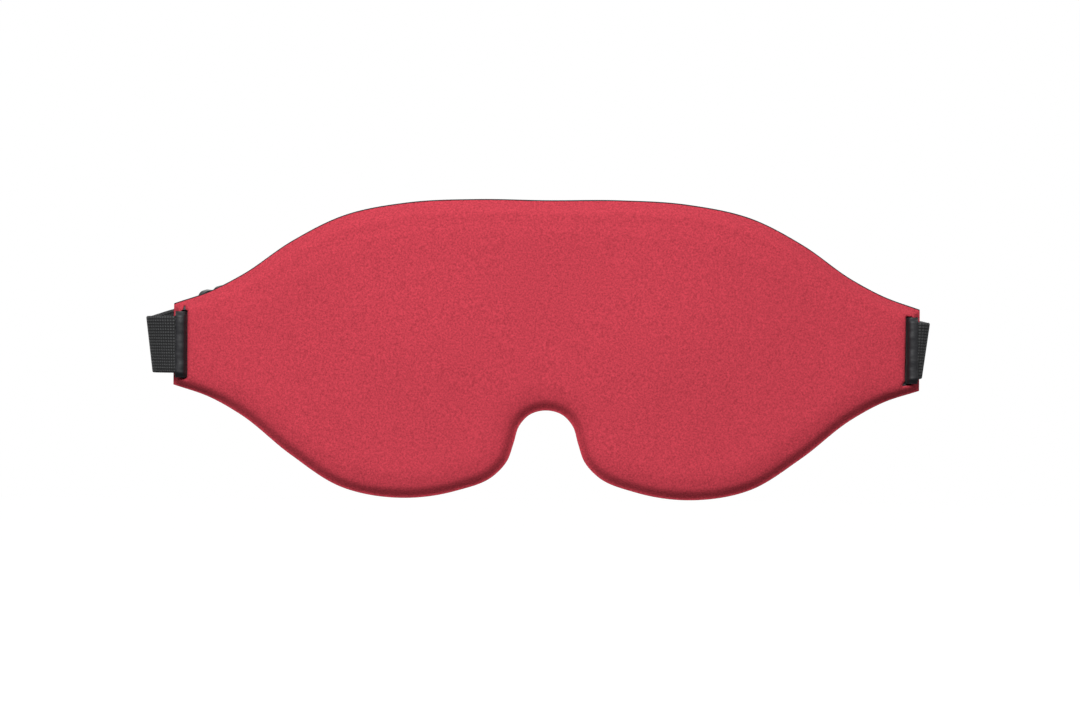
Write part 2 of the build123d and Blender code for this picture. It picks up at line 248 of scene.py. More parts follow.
def plan(outline, slots, insets, spacing, pads):
    """Plan points and triangles of the panel, with rows along its edges and, if pads, round the eyes."""
    extra = []
    for inset in insets:
        row = ring_inside(outline, inset)
        good = distance_to(row, outline) > inset - CROSSING
        extra.append(row[good & inside(row, outline)][:: 1 if inset < 4 else 2])
    for loop in slots:
        for inset in SLOT_INSETS:
            extra.append(ring_inside(loop, -inset))
    if pads:
        turns = np.radians(np.arange(0, 360, 2.0))
        ray = np.stack([np.cos(turns), np.sin(turns)], axis=1)
        radius = 1 / np.sqrt((ray[:, 0] / RING_A) ** 2 + (ray[:, 1] / RING_B) ** 2)
        for side in (-1, 1):
            for step in [-step for step in reversed(RING_STEPS)] + RING_STEPS:
                ring = ray * (radius + step)[:, None] + [EYE_X, EYE_Z]
                ring = ring[ring[:, 0] > 0.3]
                ring = ring[distance_to(ring, outline) > insets[-1] + 0.3]
                ring = ring * [side, 1]
                extra.append(ring[inside(ring, outline)])
    xs, zs = np.arange(-HALF_WIDTH, HALF_WIDTH, spacing), np.arange(-50, 50, spacing * 0.87)
    grid = np.array([(x + (k % 2) * spacing / 2, z) for k, z in enumerate(zs) for x in xs])
    far = inside(grid, outline) & (distance_to(grid, outline) > insets[-1] + 0.6 * spacing)
    for loop in slots:
        far &= ~inside(grid, loop) & (distance_to(grid, loop) > SLOT_INSETS[-1] + 0.5 * spacing)
    if pads:
        far &= np.abs(ring_offset(grid)) > RING_STEPS[-1] + 0.5 * spacing
    extra.append(grid[far])
    inner = np.vstack(extra)
    clear = np.ones(len(inner), bool)
    for loop in slots:
        clear &= ~inside(inner, loop)
    inner = inner[clear & (distance_to(inner, outline) > 0.1)]
    points = np.vstack([outline, *slots, inner])
    edges, loops, start = [], [], 0
    for loop in [outline, *slots]:
        index = np.arange(start, start + len(loop))
        loops.append(index)
        edges += list(zip(index.tolist(), np.roll(index, -1).tolist()))
        start += len(loop)
    verts, _, faces, origin, _, _ = delaunay_2d_cdt([Vector(p) for p in points], edges, [], 0, 1e-5)
    verts = np.array([tuple(v) for v in verts])
    new_of = {}
    for new, olds in enumerate(origin):
        for old in olds:
            new_of[old] = new
    loops = [np.array([new_of[i] for i in index.tolist()]) for index in loops]
    faces = np.array(faces)
    middle = verts[faces].mean(axis=1)
    keep = inside(middle, outline)
    for loop in slots:
        keep &= ~inside(middle, loop)
    return verts, faces[keep], loops


# ---- Relief of the front and the back, as depth in from the front cylinder ----
def lumps(points, scale, seed):
    """Slow unevenness between about -1 and 1."""
    x, z = points[:, 0] / scale, points[:, 1] / scale
    total = np.zeros(len(points))
    rng = np.random.default_rng(seed)
    turn = 6.28
    for _ in range(6):
        angle, phase, stretch = rng.uniform(0, turn), rng.uniform(0, turn), rng.uniform(0.6, 1.6)
        total += np.sin((x * math.cos(angle) + z * math.sin(angle)) * turn * stretch + phase)
    return total / 3.2


def edge_distance(points, slots):
    """Distances from each point to the outline and to the nearer slot."""
    return distance_to(points, OUTLINE), np.minimum(*[distance_to(points, slot) for slot in slots])


FLANGE = 3.85  # depth at which the front's cut edge meets the lining
LINING_RISE = 0.34  # the lining is sewn on a little high, so that it shows past the top edge
LIP = 0.2  # flat pressed edge outside the rolled rim


EAR_START, EAR_BLEND = 96, 14  # x where the rim begins to tighten towards an ear, and over how much
RIM_FALL = 3.1
RIM_REACH, EAR_REACH = 2.2, 1.5  # how far in the rolled rim reaches, along the mask and at its ears
SHOULDER_FALL, SHOULDER_REACH = 0.9, 3.3  # the softer fall inside the rim
FRONT_SET = 0.35  # how far the front stands out from the plain panel
GROOVE_DEPTH, GROOVE_AT, GROOVE_WIDTH = 0.4, 4.9, 1.6  # pressed line inside the rim
TOP_DEPTH, TOP_AT, TOP_WIDTH = 0.2, 1.5, 0.9  # what that line gains along the top
EYE_BULGE, BULGE_X, BULGE_SIZE = 1.7, 38, (25, 23)
BRIDGE_DIP, BRIDGE_Z, BRIDGE_SIZE = 0.35, -2, (14, 22)
TEMPLE_DIP, TEMPLE_X, TEMPLE_SIZE = 0.55, 84, (9, 24)


def front_relief(points, edges):
    """Depth of the front surface behind the front cylinder."""
    d, slot = edges
    x, z = np.abs(points[:, 0]), points[:, 1]
    ear = smoothstep((x - EAR_START) / EAR_BLEND)
    top = smoothstep((z + 10) / 30)
    down = np.maximum(d - LIP, 0)
    reach = RIM_REACH - (RIM_REACH - EAR_REACH) * ear
    rim = RIM_FALL * np.exp(-((down / reach) ** 1.6)) - FRONT_SET
    rim += SHOULDER_FALL * np.exp(-((down / SHOULDER_REACH) ** 2))
    across = (d - GROOVE_AT - TOP_AT * top) / (GROOVE_WIDTH + TOP_WIDTH * top)
    groove = (GROOVE_DEPTH + TOP_DEPTH * top) * np.exp(-(across**2)) * (1 - 0.6 * ear)
    v = np.clip(1 - slot / 1.1, 0, 1)
    lip = 0.75 * (1 - np.sqrt(1 - v**2))
    swell = 0.07 * lumps(points, 26, 3) - EYE_BULGE * hill(x, z, (BULGE_X, 0), BULGE_SIZE)
    swell += BRIDGE_DIP * hill(x, z, (0, BRIDGE_Z), BRIDGE_SIZE)
    swell += TEMPLE_DIP * hill(x, z, (TEMPLE_X, 0), TEMPLE_SIZE)
    return rim + groove + lip + swell * smoothstep(d / 4)


RING_HEIGHT = 6.5
CUP_DEPTH = 1.35  # the hollow's floor, in from the panel's back


def pad_height(points):
    """How far the back stands out from the panel's back: cushion rings up, eye cups down."""
    left, right = ring_offset(points, -1), ring_offset(points, 1)
    total = np.zeros(len(points))
    for s in (left, right):
        outer = np.clip(s / (RING_HALF + 0.9), 0, 1)
        inner = np.clip(-s / (RING_HALF + 0.7), 0, 1)
        up = RING_HEIGHT * np.where(s > 0, (1 - outer**3.2) ** 0.8, (1 - inner**3.6) ** 0.85)
        total = np.maximum(total, up)
    s = np.minimum(left, right)
    cup = smoothstep((-s - 3.6) / 2.4)
    return total - CUP_DEPTH * cup


def back_relief(points, edges):
    """Depth of the back surface behind the front cylinder."""
    d, slot = edges
    u = np.clip(1 - d / 2.6, 0, 1)
    rim = 0.35 * (1 - np.sqrt(1 - u**2))
    v = np.clip(1 - slot / 0.9, 0, 1)
    lip = 0.5 * (1 - np.sqrt(1 - v**2))
    groove = 0.35 * np.exp(-(((d - 3.6) / 0.9) ** 2))
    return PANEL + pad_height(points) - rim - lip - groove + 0.08 * lumps(points, 19, 5)


def placed(points, depth):
    """Plan points at a depth behind the front cylinder."""
    return np.stack([points[:, 0], face_depth(points[:, 0]) + depth, points[:, 1]], axis=1)


def skin(name, points, faces, loops, depth, edge_to, thickness, outward):
    """A sheet over the panel whose edges turn down to depth edge_to, given a thickness inwards."""
    verts = [placed(points, depth)]
    tris = faces.tolist() if outward < 0 else faces[:, ::-1].tolist()
    count = len(points)
    for loop in loops:
        previous = loop
        for share in (0.35, 0.7, 1.0):
            row = depth[loop] + (edge_to - depth[loop]) * share
            verts.append(placed(points[loop], row))
            current = np.arange(count, count + len(loop))
            count += len(loop)
            for k in range(len(loop)):
                j = (k + 1) % len(loop)
                quad = [previous[k], previous[j], current[j], current[k]]
                tris.append(quad if outward < 0 else quad[::-1])
            previous = current
    obj = new_object(name, np.vstack(verts), tris)
    select_only(obj)
    bpy.ops.object.mode_set(mode="EDIT")
    bpy.ops.mesh.select_all(action="SELECT")
    bpy.ops.mesh.normals_make_consistent(inside=False)
    bpy.ops.object.mode_set(mode="OBJECT")
    middle = obj.data.polygons[len(faces) // 2]
    if middle.normal.y * outward < 0:
        obj.data.flip_normals()
    thicken(obj, thickness)
    return obj


COVER_THICK = 0.7
LINING_THICK = 0.5
front_rows = [0.25, 0.55, 0.9, 1.3, 1.8, 2.4, 3.0, 3.8, 4.8, 6.0]
back_rows = [0.3, 0.7, 1.2, 1.8, 2.6, 3.4, 4.4]
front_plan = plan(OUTLINE, FRONT_SLOTS, front_rows, 1.9, False)
back_plan = plan(OUTLINE, BACK_SLOTS, back_rows, 2.2, True)
front_edges = edge_distance(front_plan[0], FRONT_SLOTS)
back_edges = edge_distance(back_plan[0], BACK_SLOTS)

front_depth = front_relief(front_plan[0], front_edges)
cover = skin("fabric_cover", *front_plan, front_depth, FLANGE, COVER_THICK, -1)
lining_depth = back_relief(back_plan[0], back_edges)
rise = LINING_RISE * (1 - smoothstep(back_edges[0] / 6))
lining_plan = (back_plan[0] + rise[:, None] * [0, 1], *back_plan[1:])
lining = skin("soft_lining", *lining_plan, lining_depth, FLANGE + 0.1, LINING_THICK, 1)


def foam_form():
    """The foam, a little inside the cover's and the lining's inner faces, closed round its edge."""
    slots = [ring_inside(slot, -0.6) for slot in BACK_SLOTS]
    points, faces, loops = plan(drawn_in(1.2), slots, [0.6, 1.4, 2.6], 2.2, True)
    back = back_relief(points, edge_distance(points, BACK_SLOTS)) - LINING_THICK - 0.15
    front = front_relief(points, edge_distance(points, FRONT_SLOTS)) + COVER_THICK + 0.15
    front = np.minimum(front, back - 0.2)
    verts = np.vstack([placed(points, front), placed(points, back)])
    n = len(points)
    tris = faces.tolist() + (faces[:, ::-1] + n).tolist()
    for loop in loops:
        for k in range(len(loop)):
            j = (k + 1) % len(loop)
            tris.append([loop[k] + n, loop[j] + n, loop[j], loop[k]])
    return new_object("moulded_foam", verts, tris)


foam = foam_form()

# ---- Strap: the CAD model's arc behind the head, in its own frame ----
TILT = math.radians(24)
FLARE = math.radians(14)
RUN_RADIUS = 163.907
RUN_MIDDLE = -2.493
PIVOT_Y = 20.0
RUN_END = 46.0
RUN_X = np.array([1.0, 0.0, 0.0])
RUN_Y = np.array([0.0, math.cos(TILT), math.sin(TILT)])
RUN_Z = np.array([0.0, -math.sin(TILT), math.cos(TILT)])
RUN_CENTRE = np.array([RUN_MIDDLE, PIVOT_Y, 0.0]) - RUN_Y * RUN_RADIUS * math.cos(math.radians(RUN_END))
PER_DEGREE = RUN_RADIUS * math.radians(1)  # millimetres of webbing
SLIDER_ANGLE = 21.7 / PER_DEGREE - RUN_END
BAR_INSET = 2.45  # slider's centre bar, in from the run's middle line


def run_frame(angle, inward=0.0):
    """Point on the run, its direction across the strap and its direction away from the head."""
    outward = RUN_X * math.sin(math.radians(angle)) + RUN_Y * math.cos(math.radians(angle))
    across = outward * math.sin(FLARE) + RUN_Z * math.cos(FLARE)
    normal = outward * math.cos(FLARE) - RUN_Z * math.sin(FLARE)
    return RUN_CENTRE + outward * RUN_RADIUS - normal * inward, across, normal


def run_stations(start, end, inward=0.0):
    """Stations of (point, across) along the run, about one a degree."""
    count = max(1, round(abs(end - start)))
    return [run_frame(start + (end - start) * k / count, inward)[:2] for k in range(count + 1)]


def ribbon(name, stations, spacing=0.8, along=0.0):
    """Webbing through stations of (middle point, direction across it).

    Its texture starts at the length along at the first station.
    """
    rows = np.array([np.concatenate(station) for station in stations])
    rows = smooth_curve(rows, spacing)
    centre, across = rows[:, :3], rows[:, 3:]
    across /= np.linalg.norm(across, axis=1)[:, None]
    ahead = np.gradient(centre, axis=0)
    normal = np.cross(ahead, across)
    normal /= np.linalg.norm(normal, axis=1)[:, None]
    length = along + lengths_along(centre)
    half, t = STRAP_WIDTH / 2, STRAP_THICK / 2
    flat = np.linspace(-half + 0.45, half - 0.45, 15)
    section = [(a, t) for a in flat]
    section += [(half - 0.12, 0.62 * t), (half, 0), (half - 0.12, -0.62 * t)]
    section += [(a, -t) for a in flat[::-1]]
    section += [(-half + 0.12, -0.62 * t), (-half, 0), (-half + 0.12, 0.62 * t)]
    size = len(section)
    verts, uvs, faces = [], [], []
    for i in range(len(centre)):
        for a, b in section:
            verts.append(centre[i] + across[i] * a + normal[i] * b)
            uvs.append((length[i] * MM, a * MM))
    for i in range(len(centre) - 1):
        for k in range(size):
            j = (k + 1) % size
            faces.append([i * size + k, i * size + j, (i + 1) * size + j, (i + 1) * size + k])
    last = (len(centre) - 1) * size
    faces.append(list(range(size))[::-1])
    faces.append([last + k for k in range(size)])
    return new_object(name, verts, faces, uvs)


def as_stations(rows):
    return [(np.array(point, float), np.array(across, float)) for point, across in rows]


UP = np.array([0.0, 0.0, 1.0])
# Each strap loop on its way out of the slot, round its fold and back to the run: (x, y) or (x, y, z).
FOLDS = {
    -1: {
        "lean": 7.0,
        "out": [(118.2, 8.35), (121.3, 9.3), (124.2, 10.9)],
        "crest": [(125.25, 12.0), (125.3, 12.9), (124.7, 14.0)],
        "back": [(122.4, 16.5, 0.7), (119.2, 20.1, 1.9), (114.6, 25.3, 3.3)],
    },
    1: {
        "lean": 7.9,
        "out": [(117.3, 8.3), (118.5, 8.75)],
        "crest": [(119.35, 9.8), (119.5, 10.9), (119.3, 12.2)],
        "back": [(118.4, 15.0, 0.3), (116.3, 18.6, 0.8), (110.0, 24.8, 2.4)],
    },
}
SEAM = 39.0  # angle at which a loop's webbing passes into the back run


def loop_stations(side):
    """Stations from inside an ear's slot, round its bar, out to the fold and back to the run."""
    fold = FOLDS[side]
    lean = math.radians(fold["lean"])
    crease = np.array([side * math.sin(lean), 0, math.cos(lean)])
    inner = [(114.85, 12.6), (114.85, 9.9), (115.1, 8.75), (115.9, 8.3)]
    out = [((side * x, y, 0), UP) for x, y in inner]
    count = len(fold["out"]) + 1
    for k, (x, y) in enumerate(fold["out"]):
        out.append(((side * x, y, 0), UP + (crease - UP) * (k + 1) / count))
    out += [((side * x, y, 0), crease) for x, y in fold["crest"]]
    goal = run_frame(side * 42)[1]
    for share, (x, y, z) in zip((0.2, 0.55, 0.9), fold["back"]):
        out.append(((side * x, y, z), crease + (goal - crease) * share))
    out += run_stations(side * 41, side * SEAM)
    return as_stations(out)


def length_of(stations):
    return float(lengths_along(smooth_curve([point for point, _ in stations], 0.8))[-1])


run_web = ribbon("strap_back_run", run_stations(-SEAM, SEAM))
run_length = 2 * SEAM * PER_DEGREE
loop_webs = {}
left_stations = loop_stations(-1)
loop_webs[-1] = ribbon("strap_left_loop", left_stations, along=-length_of(left_stations))
loop_webs[1] = ribbon("strap_right_loop", loop_stations(1)[::-1], along=run_length)

# The right loop's inner leg, to the end that is sewn to the run.
SEWN_NEAR = RUN_END - 16.0 / PER_DEGREE
SEWN_FAR = SEWN_NEAR - 10.0 / PER_DEGREE
LAYER_STEP = 1.15  # between the middles of two layers of webbing
inner_leg = [((114.85, y, 0), UP) for y in (12.2, 14.4)] + [((114.2, 17.0, 0.3), UP)]
inner_leg += run_stations(SEWN_NEAR + 0.4, SEWN_FAR, inward=LAYER_STEP)
leg_web = ribbon("strap_sewn_leg", as_stations(inner_leg))

# The left loop's tail, to the slider's centre bar, round it and back to where it is sewn to itself.
TAIL_JOIN = 11.0  # along the run from the slider, where the tail's two pieces meet


def slider_point(x, h):
    """A point in the slider's frame: x towards the left ear, h away from the head."""
    point, across, normal = run_frame(SLIDER_ANGLE)
    return point + np.cross(across, normal) * x + normal * h, across


join_station = slider_point(TAIL_JOIN, -BAR_INSET + 0.5)
before_join = slider_point(TAIL_JOIN + 1.5, -BAR_INSET + 0.5)
tail_start = [((-114.85, y, 0), UP) for y in (12.2, 14.4, 16.6)]
tail_start += [((-114.6, 18.6, 0.6), UP), before_join, join_station]
tail_web = ribbon("strap_tail_start", as_stations(tail_start))
WRAP = [
    (TAIL_JOIN, 0.5), (8.0, 0.5), (4.5, 0.55), (2.2, 0.95), (1.1, 1.22), (-0.9, 1.22), (-1.55, 0.8),
    (-1.65, 0.0), (-1.55, -0.8), (-0.9, -1.22), (1.1, -1.22), (2.2, -0.95), (4.0, -0.62), (6.1, -0.6),
]
wrap_web = ribbon("strap_tail_wrap", [slider_point(x, h - BAR_INSET) for x, h in WRAP], spacing=0.35)


# ---- Keepers: smooth tape over the webbing at each ear ----
def keeper(name, side):
    """A strip of smooth tape that bridges the webbing, turned down into the slot on its inner side; that
    turned-down black part is partly painted shade for the slot's inner wall.
    """
    # The first points run down the slot's inner wall: that black part is partly painted shade, covering the
    # cover's cut edge where the slot lies in shadow.
    profile = [
        (113.62, 13.6), (113.62, 11.8), (113.68, 10.2), (113.85, 8.8), (114.2, 7.75), (114.75, 7.15),
        (115.5, 6.92), (116.3, 6.98), (116.9, 7.2), (117.3, 7.6),
    ]
    curve = smooth_curve(profile, 0.18)
    ahead = np.gradient(curve, axis=0)
    normal = np.stack([-ahead[:, 1], ahead[:, 0]], axis=1)
    normal /= np.linalg.norm(normal, axis=1)[:, None]
    levels = np.concatenate([[-10.5, -10.3], np.linspace(-10.0, 10.0, 42), [10.3, 10.5]])
    verts, faces, uvs = [], [], []
    count = len(curve)
    for z in levels:
        drop = 1.35 * smoothstep((abs(z) - 9.0) / 1.2)
        sway = 0.10 * math.sin(z * 0.9 + side) + 0.06 * math.sin(z * 2.3 + 1.0)
        for k, (x, y) in enumerate(curve):
            share = k / (count - 1)
            wave = sway * math.sin(math.pi * share)
            sunk = y + (drop * share if y < 9 else 0)
            verts.append((side * (x + 0.05 * share * math.sin(z * 1.3)), sunk + wave, z))
            uvs.append((z * MM, x * MM))
    for i in range(len(levels) - 1):
        for k in range(count - 1):
            quad = [i * count + k, i * count + k + 1, (i + 1) * count + k + 1, (i + 1) * count + k]
            faces.append(quad if side > 0 else quad[::-1])
    obj = new_object(name, verts, faces, uvs)
    if obj.data.polygons[len(faces) // 2].normal.y > 0:
        obj.data.flip_normals()
    thicken(obj, 0.4)
    return obj


keepers = {-1: keeper("keeper_tape_left", -1), 1: keeper("keeper_tape_right", 1)}


# ---- Thread: rows of stitches across the webbing ----
STITCH_LENGTH = 2.1
STITCH_PITCH = 3.0
STITCHES = 6  # in a row
THREAD_RADIUS = 0.24


def stitches(name, places):
    """Short thread loops lying on a surface; each place is (point, along, up)."""
    verts, faces = [], []
    rings, sides = 9, 8
    for point, along, up in places:
        side = np.cross(up, along)
        base = len(verts)
        for i in range(rings):
            t = i / (rings - 1) * 2 - 1
            r = THREAD_RADIUS * math.sqrt(max(0.04, 1 - abs(t) ** 3))
            lift = 0.22 * (1 - t * t) - 0.08
            for k in range(sides):
                angle = k * math.tau / sides
                twist = 1 + 0.14 * math.sin(2 * angle + 7 * t)
                ring = side * math.cos(angle) + up * math.sin(angle)
                verts.append(point + along * t * STITCH_LENGTH / 2 + up * lift + ring * r * twist)
        for i in range(rings - 1):
            for k in range(sides):
                j = (k + 1) % sides
                a = base + i * sides
                faces.append([a + k, a + j, a + sides + j, a + sides + k])
        faces.append([base + k for k in range(sides)][::-1])
        faces.append([base + (rings - 1) * sides + k for k in range(sides)])
    return new_object(name, verts, faces)


def stitch_row(angle, inward, facing):
    """Places of one row of stitches across the run."""
    point, across, normal = run_frame(angle, inward)
    offsets = (np.arange(STITCHES) - (STITCHES - 1) / 2) * STITCH_PITCH
    return [(point + across * offset, across, normal * facing) for offset in offsets]


places = []
for share in (1 / 6, 5 / 6):
    angle = SEWN_NEAR + (SEWN_FAR - SEWN_NEAR) * share
    places += stitch_row(angle, LAYER_STEP + 0.55, -1)
    places += stitch_row(angle, -0.55, 1)
sewn_thread = stitches("thread_sewn_end", places)
stub_angle = SLIDER_ANGLE - 4.6 / PER_DEGREE
tail_thread = stitches("thread_tail", stitch_row(stub_angle, BAR_INSET + 1.2, -1))


# ---- Materials ----
class Shader:
    """A procedural material under construction; its texture scales are per metre."""

    def __init__(self, name, colour, roughness, **sockets):
        self.material = bpy.data.materials.new(name)
        self.material.use_nodes = True
        self.tree = self.material.node_tree
        self.bsdf = self.tree.nodes["Principled BSDF"]
        self.bsdf.inputs["Base Color"].default_value = (*colour, 1)
        self.bsdf.inputs["Roughness"].default_value = roughness
        for socket, value in sockets.items():
            self.bsdf.inputs[socket.replace("_", " ")].default_value = value
        self.height = None

    def node(self, kind, **settings):
        node = self.tree.nodes.new(kind)
        for key, value in settings.items():
            if key in node.inputs:
                node.inputs[key].default_value = value
            else:
                setattr(node, key, value)
        return node

    def link(self, a, b):
        self.tree.links.new(a, b)

    def coords(self, uv=False, scale=(1, 1, 1), rotation=(0, 0, 0)):
        """Mapped object or webbing coordinates, in metres."""
        mapping = self.node("ShaderNodeMapping", Scale=scale, Rotation=rotation)
        if uv:
            self.link(self.node("ShaderNodeUVMap", uv_map="along").outputs["UV"], mapping.inputs["Vector"])
        else:
            self.link(self.node("ShaderNodeTexCoord").outputs["Object"], mapping.inputs["Vector"])
        return mapping.outputs["Vector"]

    def noise(self, vector, scale, detail=3.0, roughness=0.6):
        node = self.node("ShaderNodeTexNoise", Scale=scale, Detail=detail, Roughness=roughness)
        self.link(vector, node.inputs["Vector"])
        return node.outputs["Fac"]

    def math(self, operation, a, b=0.0):
        node = self.node("ShaderNodeMath", operation=operation)
        for index, value in enumerate((a, b)):
            if isinstance(value, (int, float)):
                node.inputs[index].default_value = value
            else:
                self.link(value, node.inputs[index])
        return node.outputs[0]

    def ramp(self, factor, stops):
        """Colours along a factor; stops are (place, colour)."""
        node = self.node("ShaderNodeValToRGB")
        elements = node.color_ramp.elements
        while len(elements) < len(stops):
            elements.new(0.5)
        for element, (place, colour) in zip(elements, stops):
            element.position = place
            element.color = (*colour, 1)
        self.link(factor, node.inputs["Fac"])
        return node.outputs["Color"]

    def mix(self, factor, a, b):
        node = self.node("ShaderNodeMix", data_type="RGBA")
        for index, value in ((0, factor), (6, a), (7, b)):
            if isinstance(value, tuple):
                node.inputs[index].default_value = (*value, 1)
            else:
                self.link(value, node.inputs[index])
        return node.outputs[2]

    def colour(self, output):
        self.link(output, self.bsdf.inputs["Base Color"])

    def rough(self, output, low, high):
        node = self.node("ShaderNodeMapRange")
        node.inputs["To Min"].default_value = low
        node.inputs["To Max"].default_value = high
        self.link(output, node.inputs["Value"])
        self.link(node.outputs["Result"], self.bsdf.inputs["Roughness"])

    def bump(self, height, distance, strength=1.0):
        node = self.node("ShaderNodeBump", Distance=distance, Strength=strength)
        self.link(height, node.inputs["Height"])
        if self.height is not None:
            self.link(self.height, node.inputs["Normal"])
        self.height = node.outputs["Normal"]
        self.link(self.height, self.bsdf.inputs["Normal"])


def shade(colour, factor):
    return tuple(c * factor for c in colour)


def knit(name, colour, grain, sheen, sheen_tint):
    """Brushed knit: fine grain, faint loops, slow unevenness and a soft sheen."""
    s = Shader(name, colour, 0.92, Specular_IOR_Level=0.06, Sheen_Weight=sheen, Sheen_Roughness=0.45)
    s.bsdf.inputs["Sheen Tint"].default_value = (*sheen_tint, 1)
    where = s.coords()
    fibre = s.noise(where, 1800, 4.0, 0.7)
    patch = s.noise(where, 260, 3.0, 0.6)
    slow = s.noise(where, 22, 2.0, 0.5)
    stops = [(0.32, shade(colour, 1 - grain)), (0.5, colour), (0.7, shade(colour, 1 + grain))]
    tone = s.ramp(fibre, stops)
    tone = s.mix(s.math("MULTIPLY", patch, 0.30), tone, shade(colour, 0.86))
    tone = s.mix(s.math("MULTIPLY", slow, 0.22), tone, shade(colour, 1.12))
    s.colour(tone)
    loops = s.node("ShaderNodeTexVoronoi", Scale=2300.0, Randomness=0.6)
    s.link(s.coords(scale=(1.0, 0.35, 1.35), rotation=(0, 0.6, 0)), loops.inputs["Vector"])
    s.bump(loops.outputs["Distance"], 0.00010, 0.35)
    s.bump(fibre, 0.00022, 0.55)
    s.bump(patch, 0.00025, 0.35)
    s.rough(patch, 0.86, 0.98)
    return s.material


RIB_LENGTH = 0.00078  # one thread float of the elastic, in metres along and across it
RIB_WIDTH = 0.00093


def webbing(name, dark, light):
    """Ribbed elastic: a grid of thread floats, with painted shade in the gaps between them and a painted
    highlight on their tops.
    """
    s = Shader(name, light, 0.6, Specular_IOR_Level=0.35, Sheen_Weight=0.12, Sheen_Roughness=0.4)
    along = s.node("ShaderNodeSeparateXYZ")
    s.link(s.coords(uv=True), along.inputs["Vector"])
    u, v = along.outputs["X"], along.outputs["Y"]
    wave_u = s.math("SINE", s.math("MULTIPLY", u, math.tau / RIB_LENGTH))
    wave_v = s.math("SINE", s.math("MULTIPLY", v, math.tau / RIB_WIDTH))
    ribs_u = s.math("ADD", s.math("MULTIPLY", wave_u, 0.5), 0.5)
    ribs_v = s.math("ADD", s.math("MULTIPLY", wave_v, 0.5), 0.5)
    cells = s.math("POWER", s.math("MULTIPLY", ribs_u, ribs_v), 0.5)
    rubber = s.noise(s.coords(uv=True, scale=(500, 4200, 1)), 1.0, 2.0)
    fuzz = s.noise(s.coords(uv=True, scale=(5200, 5200, 1)), 1.0, 3.0)
    floats = s.math("MULTIPLY", cells, s.math("ADD", fuzz, 0.45))
    # Painted light: the gaps between floats are darkened as painted shade, and the float tops are brightened
    # up to 1.5 times as a painted highlight.
    tone = s.ramp(floats, [(0.12, dark), (0.55, light), (1.0, shade(light, 1.5))])
    tone = s.mix(s.math("MULTIPLY", rubber, 0.35), tone, dark)
    s.colour(tone)
    s.bump(cells, 0.00022, 0.8)
    s.bump(fuzz, 0.00008, 0.5)
    s.rough(cells, 0.78, 0.52)
    return s.material


def tape(name, colour):
    """Smooth satin tape with fine lengthwise threads and faint creases."""
    s = Shader(name, colour, 0.5, Specular_IOR_Level=0.35, Sheen_Weight=0.1, Sheen_Roughness=0.3)
    threads = s.noise(s.coords(uv=True, scale=(900, 7000, 1)), 1.0, 3.0)
    crease = s.noise(s.coords(uv=True, scale=(420, 160, 1)), 1.0, 2.0)
    s.colour(s.ramp(threads, [(0.3, shade(colour, 0.7)), (0.7, shade(colour, 1.5))]))
    s.bump(threads, 0.00006, 0.5)
    s.bump(crease, 0.0004, 0.4)
    s.rough(crease, 0.42, 0.6)
    return s.material


def foam_material(name, colour):
    """Fine closed-cell foam."""
    s = Shader(name, colour, 0.85, Specular_IOR_Level=0.3)
    where = s.coords()
    cells = s.node("ShaderNodeTexVoronoi", Scale=1500.0)
    s.link(where, cells.inputs["Vector"])
    patch = s.noise(where, 120)
    s.colour(s.ramp(cells.outputs["Distance"], [(0.0, shade(colour, 0.7)), (0.6, shade(colour, 1.2))]))
    s.bump(cells.outputs["Distance"], 0.0002, 0.6)
    s.rough(patch, 0.75, 0.92)
    return s.material


def moulded(name, colour):
    """Glossy moulded plastic with faint flow marks and scuffs."""
    s = Shader(name, colour, 0.3, Specular_IOR_Level=0.4)
    where = s.coords()
    flow = s.noise(s.coords(scale=(1, 1, 0.3)), 90, 2.0)
    scuff = s.noise(where, 1300, 4.0, 0.7)
    s.colour(s.ramp(flow, [(0.3, shade(colour, 0.8)), (0.75, shade(colour, 1.4))]))
    s.bump(flow, 0.0003, 0.25)
    s.bump(scuff, 0.00002, 0.5)
    s.rough(scuff, 0.22, 0.45)
    return s.material


def thread_material(name, colour):
    """Twisted sewing thread."""
    s = Shader(name, colour, 0.55, Sheen_Weight=0.3)
    ply = s.node("ShaderNodeTexWave", Scale=900.0, Distortion=1.5)
    s.link(s.coords(rotation=(0.5, 0.6, 0.2)), ply.inputs["Vector"])
    s.colour(s.ramp(ply.outputs["Fac"], [(0.2, shade(colour, 0.6)), (0.8, shade(colour, 1.5))]))
    s.bump(ply.outputs["Fac"], 0.0001, 0.7)
    s.rough(ply.outputs["Fac"], 0.5, 0.7)
    return s.material


RED = (0.56, 0.053, 0.078)
BLACK = (0.029, 0.029, 0.031)
looks = {
    "cover": knit("red_brushed_knit", RED, 0.42, 0.05, (1.0, 0.55, 0.6)),
    "lining": knit("black_brushed_knit", BLACK, 0.4, 0.25, (0.6, 0.6, 0.65)),
    "webbing": webbing("black_elastic", (0.003, 0.003, 0.0035), (0.027, 0.028, 0.029)),
    "keeper_tape": tape("black_tape", (0.009, 0.009, 0.011)),
    "foam": foam_material("grey_foam", (0.06, 0.06, 0.065)),
    "slider_plastic": moulded("black_plastic", (0.008, 0.008, 0.009)),
    "thread": thread_material("black_thread", (0.03, 0.03, 0.033)),
}


def finish_piece(obj, slot):
    obj.data.materials.clear()
    obj.data.materials.append(looks[slot])


for obj, slot in (
    (cover, "cover"), (lining, "lining"), (foam, "foam"), (run_web, "webbing"),
    (loop_webs[-1], "webbing"), (loop_webs[1], "webbing"), (leg_web, "webbing"),
    (tail_web, "webbing"), (wrap_web, "webbing"), (keepers[-1], "keeper_tape"),
    (keepers[1], "keeper_tape"), (sewn_thread, "thread"), (tail_thread, "thread"),
):
    finish_piece(obj, slot)
finish_piece(NODES["slider"], "slider_plastic")

